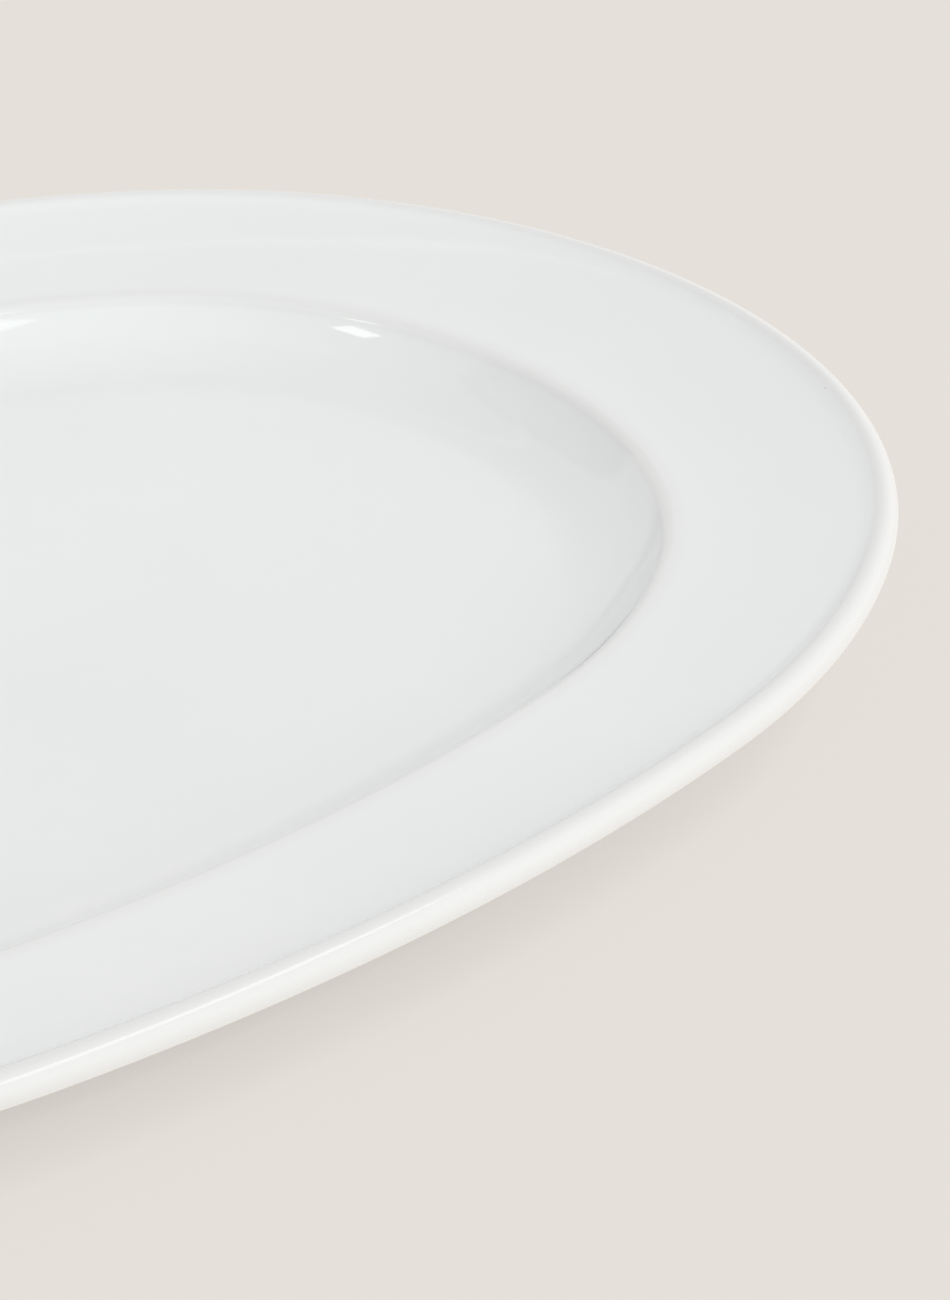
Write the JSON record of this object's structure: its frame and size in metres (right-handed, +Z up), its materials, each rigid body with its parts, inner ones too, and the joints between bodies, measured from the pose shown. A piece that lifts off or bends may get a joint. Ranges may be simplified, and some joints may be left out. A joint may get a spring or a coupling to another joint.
{
  "type": "oval serving platter",
  "caption": "Oval serving platter in white glazed porcelain, with a broad sloping rim, a rounded bead lip, a shallow well and a bare ground foot ring",
  "frame": {"origin": "centre of the oval, on the table under the foot ring", "axes": "+X along the platter, +Y across it, +Z up out of the well"},
  "size_m": [0.36, 0.257, 0.025],
  "materials": {
    "biscuit": "bare fired porcelain, matt and slightly gritty, seen only on the foot ring",
    "glaze": "smooth glossy clear glaze over white porcelain, a little warmer along the verge and the lip",
    "recess_glaze": "the same glaze inside the foot ring, slightly less even"
  },
  "bodies": {
    "root": {"porcelain_body": "biscuit", "glaze_coat": "glaze", "foot_recess_glaze": "recess_glaze"}
  },
  "joints": []
}
